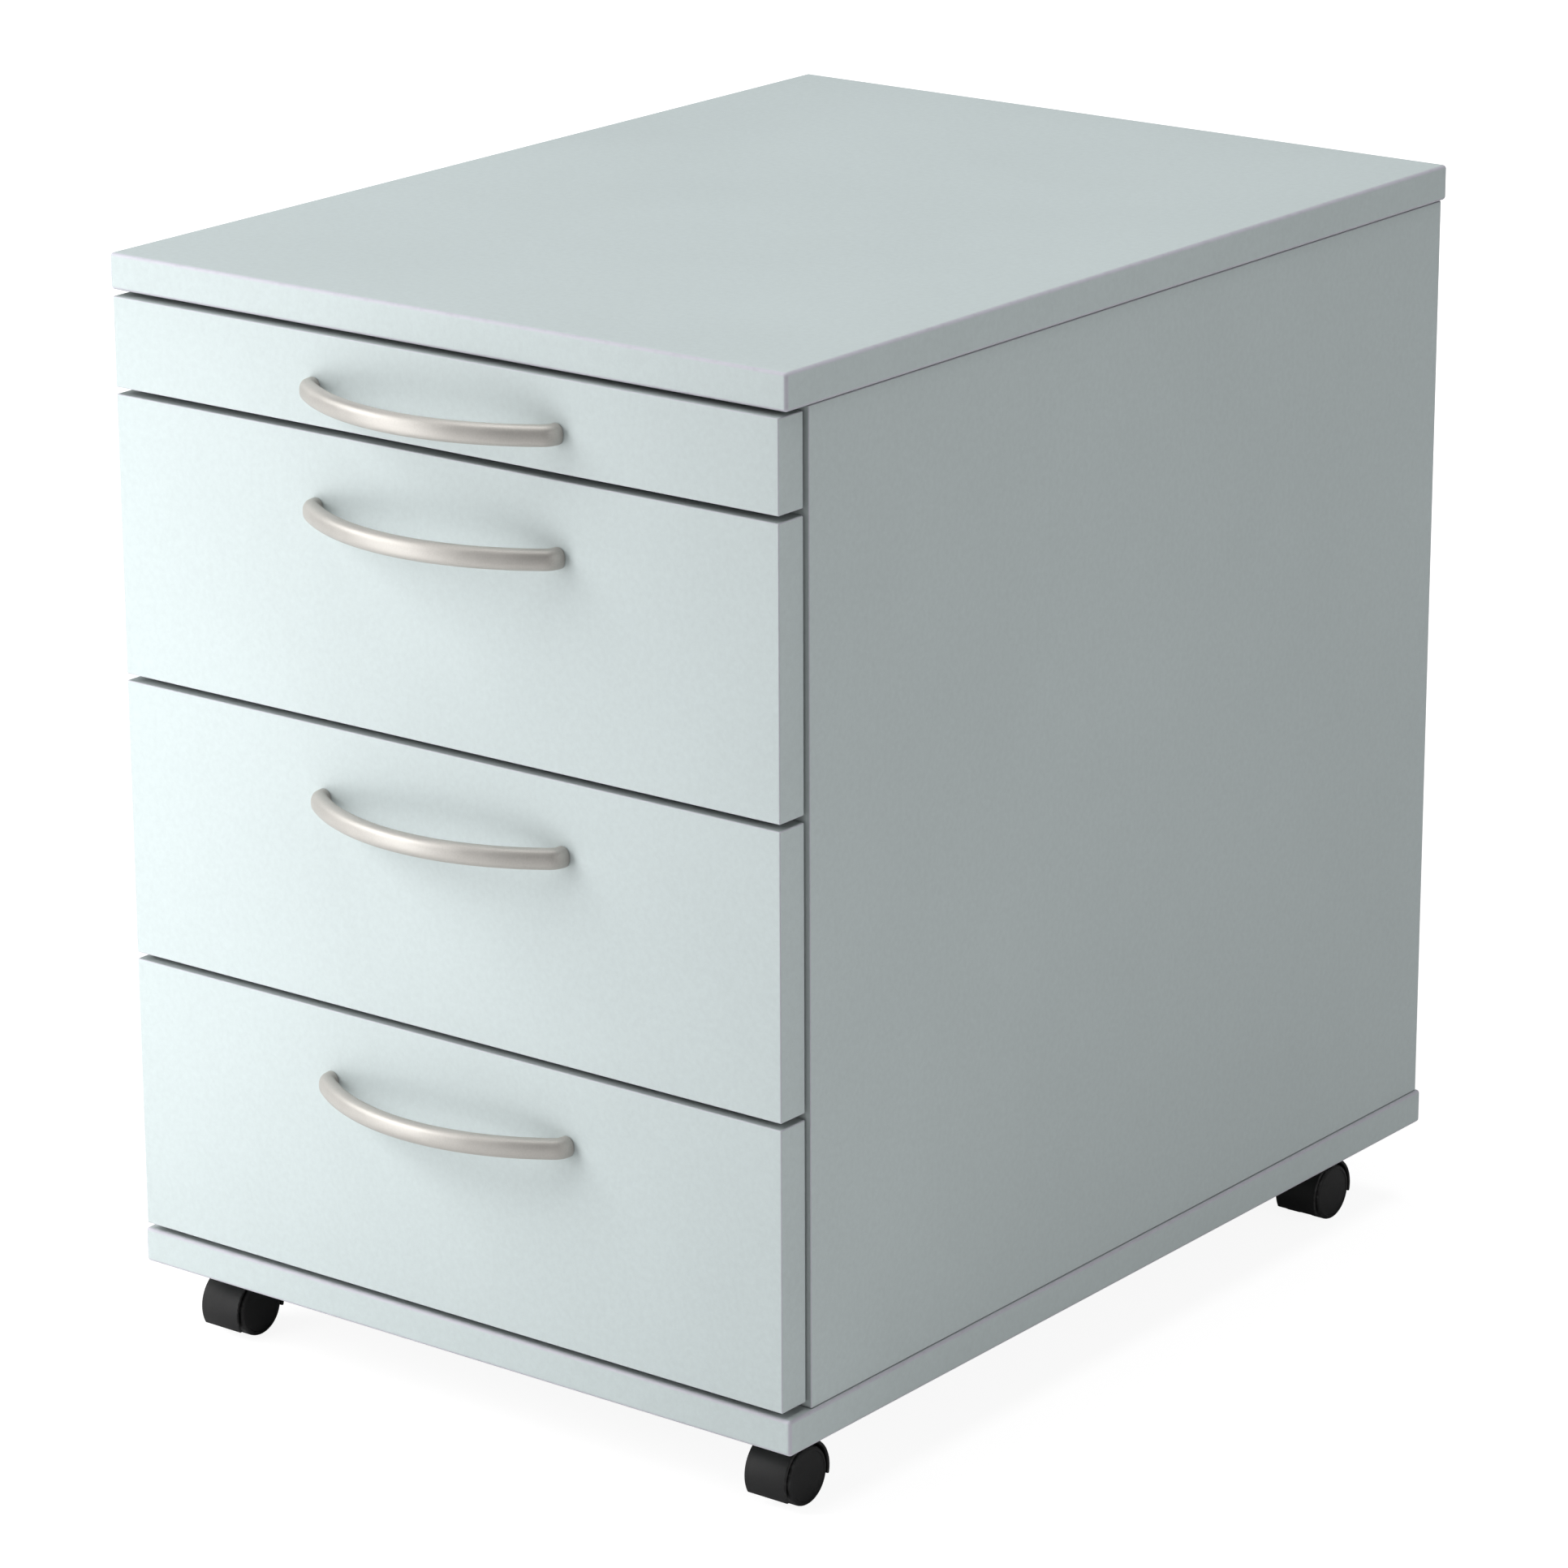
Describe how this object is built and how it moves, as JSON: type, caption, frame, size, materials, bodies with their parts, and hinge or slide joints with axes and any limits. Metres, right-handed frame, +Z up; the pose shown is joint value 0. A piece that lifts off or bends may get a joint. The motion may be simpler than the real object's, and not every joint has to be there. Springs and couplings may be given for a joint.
{
  "type": "rolling pedestal cabinet",
  "caption": "Rolling office pedestal with a pencil drawer over equal steel drawers, bow handles, a board carcass and twin-wheel casters.",
  "frame": {"origin": "centre of the bounding box at the floor", "axes": "+Z up, -Y towards the person who opens the drawers, +X to their right"},
  "size_m": [0.428, 0.617, 0.588],
  "materials": {
    "melamine": "light grey melamine-faced board, fine pearl texture",
    "drawer_steel": "epoxy-coated sheet steel",
    "satin_nickel": "satin nickel",
    "axle_steel": "plain steel",
    "black_plastic": "matte black nylon",
    "tray_plastic": "moulded charcoal plastic",
    "nylon": "natural nylon"
  },
  "bodies": {
    "root": {"top_panel": "melamine", "bottom_panel": "melamine", "left_side": "melamine", "right_side": "melamine", "back_panel": "melamine", "tray_guide_left": "black_plastic", "tray_guide_right": "black_plastic", "runner_2_left": "drawer_steel", "runner_2_right": "drawer_steel", "runner_3_left": "drawer_steel", "runner_3_right": "drawer_steel", "runner_4_left": "drawer_steel", "runner_4_right": "drawer_steel", "caster_front_left_plate": "drawer_steel", "caster_front_right_plate": "drawer_steel", "caster_rear_left_plate": "drawer_steel", "caster_rear_right_plate": "drawer_steel"},
    "drawer_1": {"front_1": "melamine", "handle_1": "satin_nickel", "pencil_tray": "tray_plastic"},
    "drawer_2": {"front_2": "melamine", "handle_2": "satin_nickel", "steel_box_2": "drawer_steel"},
    "front_roller_2_left": {"front_roller_2_left": "nylon"},
    "rear_roller_2_left": {"rear_roller_2_left": "nylon"},
    "front_roller_2_right": {"front_roller_2_right": "nylon"},
    "rear_roller_2_right": {"rear_roller_2_right": "nylon"},
    "drawer_3": {"front_3": "melamine", "handle_3": "satin_nickel", "steel_box_3": "drawer_steel"},
    "front_roller_3_left": {"front_roller_3_left": "nylon"},
    "rear_roller_3_left": {"rear_roller_3_left": "nylon"},
    "front_roller_3_right": {"front_roller_3_right": "nylon"},
    "rear_roller_3_right": {"rear_roller_3_right": "nylon"},
    "drawer_4": {"front_4": "melamine", "handle_4": "satin_nickel", "steel_box_4": "drawer_steel"},
    "front_roller_4_left": {"front_roller_4_left": "nylon"},
    "rear_roller_4_left": {"rear_roller_4_left": "nylon"},
    "front_roller_4_right": {"front_roller_4_right": "nylon"},
    "rear_roller_4_right": {"rear_roller_4_right": "nylon"},
    "caster_front_left_swivel": {"caster_front_left_hood": "black_plastic", "caster_front_left_axle": "axle_steel"},
    "caster_front_left_wheel_left": {"caster_front_left_wheel_left": "black_plastic"},
    "caster_front_left_wheel_right": {"caster_front_left_wheel_right": "black_plastic"},
    "caster_front_right_swivel": {"caster_front_right_hood": "black_plastic", "caster_front_right_axle": "axle_steel"},
    "caster_front_right_wheel_left": {"caster_front_right_wheel_left": "black_plastic"},
    "caster_front_right_wheel_right": {"caster_front_right_wheel_right": "black_plastic"},
    "caster_rear_left_swivel": {"caster_rear_left_hood": "black_plastic", "caster_rear_left_axle": "axle_steel"},
    "caster_rear_left_wheel_left": {"caster_rear_left_wheel_left": "black_plastic"},
    "caster_rear_left_wheel_right": {"caster_rear_left_wheel_right": "black_plastic"},
    "caster_rear_right_swivel": {"caster_rear_right_hood": "black_plastic", "caster_rear_right_axle": "axle_steel"},
    "caster_rear_right_wheel_left": {"caster_rear_right_wheel_left": "black_plastic"},
    "caster_rear_right_wheel_right": {"caster_rear_right_wheel_right": "black_plastic"}
  },
  "joints": [
    {"name": "drawer_1_slide", "type": "slide", "parent": "root", "child": "drawer_1", "axis": [0, -1, 0], "range_m": [0, 0.3]},
    {"name": "drawer_2_slide", "type": "slide", "parent": "root", "child": "drawer_2", "axis": [0, -1, 0], "range_m": [0, 0.38]},
    {"name": "front_roller_2_left_spin", "type": "hinge", "parent": "root", "child": "front_roller_2_left", "pos_m": [-0.1883, -0.23353, 0.3931], "axis": [1, 0, 0], "range_deg": [0, 3120]},
    {"name": "rear_roller_2_left_spin", "type": "hinge", "parent": "drawer_2", "child": "rear_roller_2_left", "pos_m": [-0.1858, 0.23347, 0.3931], "axis": [1, 0, 0], "range_deg": [0, 3120]},
    {"name": "front_roller_2_right_spin", "type": "hinge", "parent": "root", "child": "front_roller_2_right", "pos_m": [0.1883, -0.23353, 0.3931], "axis": [1, 0, 0], "range_deg": [0, 3120]},
    {"name": "rear_roller_2_right_spin", "type": "hinge", "parent": "drawer_2", "child": "rear_roller_2_right", "pos_m": [0.1858, 0.23347, 0.3931], "axis": [1, 0, 0], "range_deg": [0, 3120]},
    {"name": "drawer_3_slide", "type": "slide", "parent": "root", "child": "drawer_3", "axis": [0, -1, 0], "range_m": [0, 0.38]},
    {"name": "front_roller_3_left_spin", "type": "hinge", "parent": "root", "child": "front_roller_3_left", "pos_m": [-0.1883, -0.23353, 0.2423], "axis": [1, 0, 0], "range_deg": [0, 3120]},
    {"name": "rear_roller_3_left_spin", "type": "hinge", "parent": "drawer_3", "child": "rear_roller_3_left", "pos_m": [-0.1858, 0.23347, 0.2423], "axis": [1, 0, 0], "range_deg": [0, 3120]},
    {"name": "front_roller_3_right_spin", "type": "hinge", "parent": "root", "child": "front_roller_3_right", "pos_m": [0.1883, -0.23353, 0.2423], "axis": [1, 0, 0], "range_deg": [0, 3120]},
    {"name": "rear_roller_3_right_spin", "type": "hinge", "parent": "drawer_3", "child": "rear_roller_3_right", "pos_m": [0.1858, 0.23347, 0.2423], "axis": [1, 0, 0], "range_deg": [0, 3120]},
    {"name": "drawer_4_slide", "type": "slide", "parent": "root", "child": "drawer_4", "axis": [0, -1, 0], "range_m": [0, 0.38]},
    {"name": "front_roller_4_left_spin", "type": "hinge", "parent": "root", "child": "front_roller_4_left", "pos_m": [-0.1883, -0.23353, 0.0915], "axis": [1, 0, 0], "range_deg": [0, 3120]},
    {"name": "rear_roller_4_left_spin", "type": "hinge", "parent": "drawer_4", "child": "rear_roller_4_left", "pos_m": [-0.1858, 0.23347, 0.0915], "axis": [1, 0, 0], "range_deg": [0, 3120]},
    {"name": "front_roller_4_right_spin", "type": "hinge", "parent": "root", "child": "front_roller_4_right", "pos_m": [0.1883, -0.23353, 0.0915], "axis": [1, 0, 0], "range_deg": [0, 3120]},
    {"name": "rear_roller_4_right_spin", "type": "hinge", "parent": "drawer_4", "child": "rear_roller_4_right", "pos_m": [0.1858, 0.23347, 0.0915], "axis": [1, 0, 0], "range_deg": [0, 3120]},
    {"name": "caster_front_left_swivel_turn", "type": "hinge", "parent": "root", "child": "caster_front_left_swivel", "pos_m": [-0.182, -0.22253, 0.03], "axis": [0, 0, 1], "continuous": true},
    {"name": "caster_front_left_wheel_left_spin", "type": "hinge", "parent": "caster_front_left_swivel", "child": "caster_front_left_wheel_left", "pos_m": [-0.19065, -0.23253, 0.0155], "axis": [1, 0, 0], "continuous": true},
    {"name": "caster_front_left_wheel_right_spin", "type": "hinge", "parent": "caster_front_left_swivel", "child": "caster_front_left_wheel_right", "pos_m": [-0.17335, -0.23253, 0.0155], "axis": [1, 0, 0], "continuous": true},
    {"name": "caster_front_right_swivel_turn", "type": "hinge", "parent": "root", "child": "caster_front_right_swivel", "pos_m": [0.182, -0.22253, 0.03], "axis": [0, 0, 1], "continuous": true},
    {"name": "caster_front_right_wheel_left_spin", "type": "hinge", "parent": "caster_front_right_swivel", "child": "caster_front_right_wheel_left", "pos_m": [0.17335, -0.23253, 0.0155], "axis": [1, 0, 0], "continuous": true},
    {"name": "caster_front_right_wheel_right_spin", "type": "hinge", "parent": "caster_front_right_swivel", "child": "caster_front_right_wheel_right", "pos_m": [0.19065, -0.23253, 0.0155], "axis": [1, 0, 0], "continuous": true},
    {"name": "caster_rear_left_swivel_turn", "type": "hinge", "parent": "root", "child": "caster_rear_left_swivel", "pos_m": [-0.182, 0.25947, 0.03], "axis": [0, 0, 1], "continuous": true},
    {"name": "caster_rear_left_wheel_left_spin", "type": "hinge", "parent": "caster_rear_left_swivel", "child": "caster_rear_left_wheel_left", "pos_m": [-0.19065, 0.24947, 0.0155], "axis": [1, 0, 0], "continuous": true},
    {"name": "caster_rear_left_wheel_right_spin", "type": "hinge", "parent": "caster_rear_left_swivel", "child": "caster_rear_left_wheel_right", "pos_m": [-0.17335, 0.24947, 0.0155], "axis": [1, 0, 0], "continuous": true},
    {"name": "caster_rear_right_swivel_turn", "type": "hinge", "parent": "root", "child": "caster_rear_right_swivel", "pos_m": [0.182, 0.25947, 0.03], "axis": [0, 0, 1], "continuous": true},
    {"name": "caster_rear_right_wheel_left_spin", "type": "hinge", "parent": "caster_rear_right_swivel", "child": "caster_rear_right_wheel_left", "pos_m": [0.17335, 0.24947, 0.0155], "axis": [1, 0, 0], "continuous": true},
    {"name": "caster_rear_right_wheel_right_spin", "type": "hinge", "parent": "caster_rear_right_swivel", "child": "caster_rear_right_wheel_right", "pos_m": [0.19065, 0.24947, 0.0155], "axis": [1, 0, 0], "continuous": true}
  ],
  "couplings": [
    {"joint": "front_roller_2_left_spin", "follows": "drawer_2_slide", "rad_per_m": 142.86},
    {"joint": "rear_roller_2_left_spin", "follows": "drawer_2_slide", "rad_per_m": 142.86},
    {"joint": "front_roller_2_right_spin", "follows": "drawer_2_slide", "rad_per_m": 142.86},
    {"joint": "rear_roller_2_right_spin", "follows": "drawer_2_slide", "rad_per_m": 142.86},
    {"joint": "front_roller_3_left_spin", "follows": "drawer_3_slide", "rad_per_m": 142.86},
    {"joint": "rear_roller_3_left_spin", "follows": "drawer_3_slide", "rad_per_m": 142.86},
    {"joint": "front_roller_3_right_spin", "follows": "drawer_3_slide", "rad_per_m": 142.86},
    {"joint": "rear_roller_3_right_spin", "follows": "drawer_3_slide", "rad_per_m": 142.86},
    {"joint": "front_roller_4_left_spin", "follows": "drawer_4_slide", "rad_per_m": 142.86},
    {"joint": "rear_roller_4_left_spin", "follows": "drawer_4_slide", "rad_per_m": 142.86},
    {"joint": "front_roller_4_right_spin", "follows": "drawer_4_slide", "rad_per_m": 142.86},
    {"joint": "rear_roller_4_right_spin", "follows": "drawer_4_slide", "rad_per_m": 142.86}
  ]
}
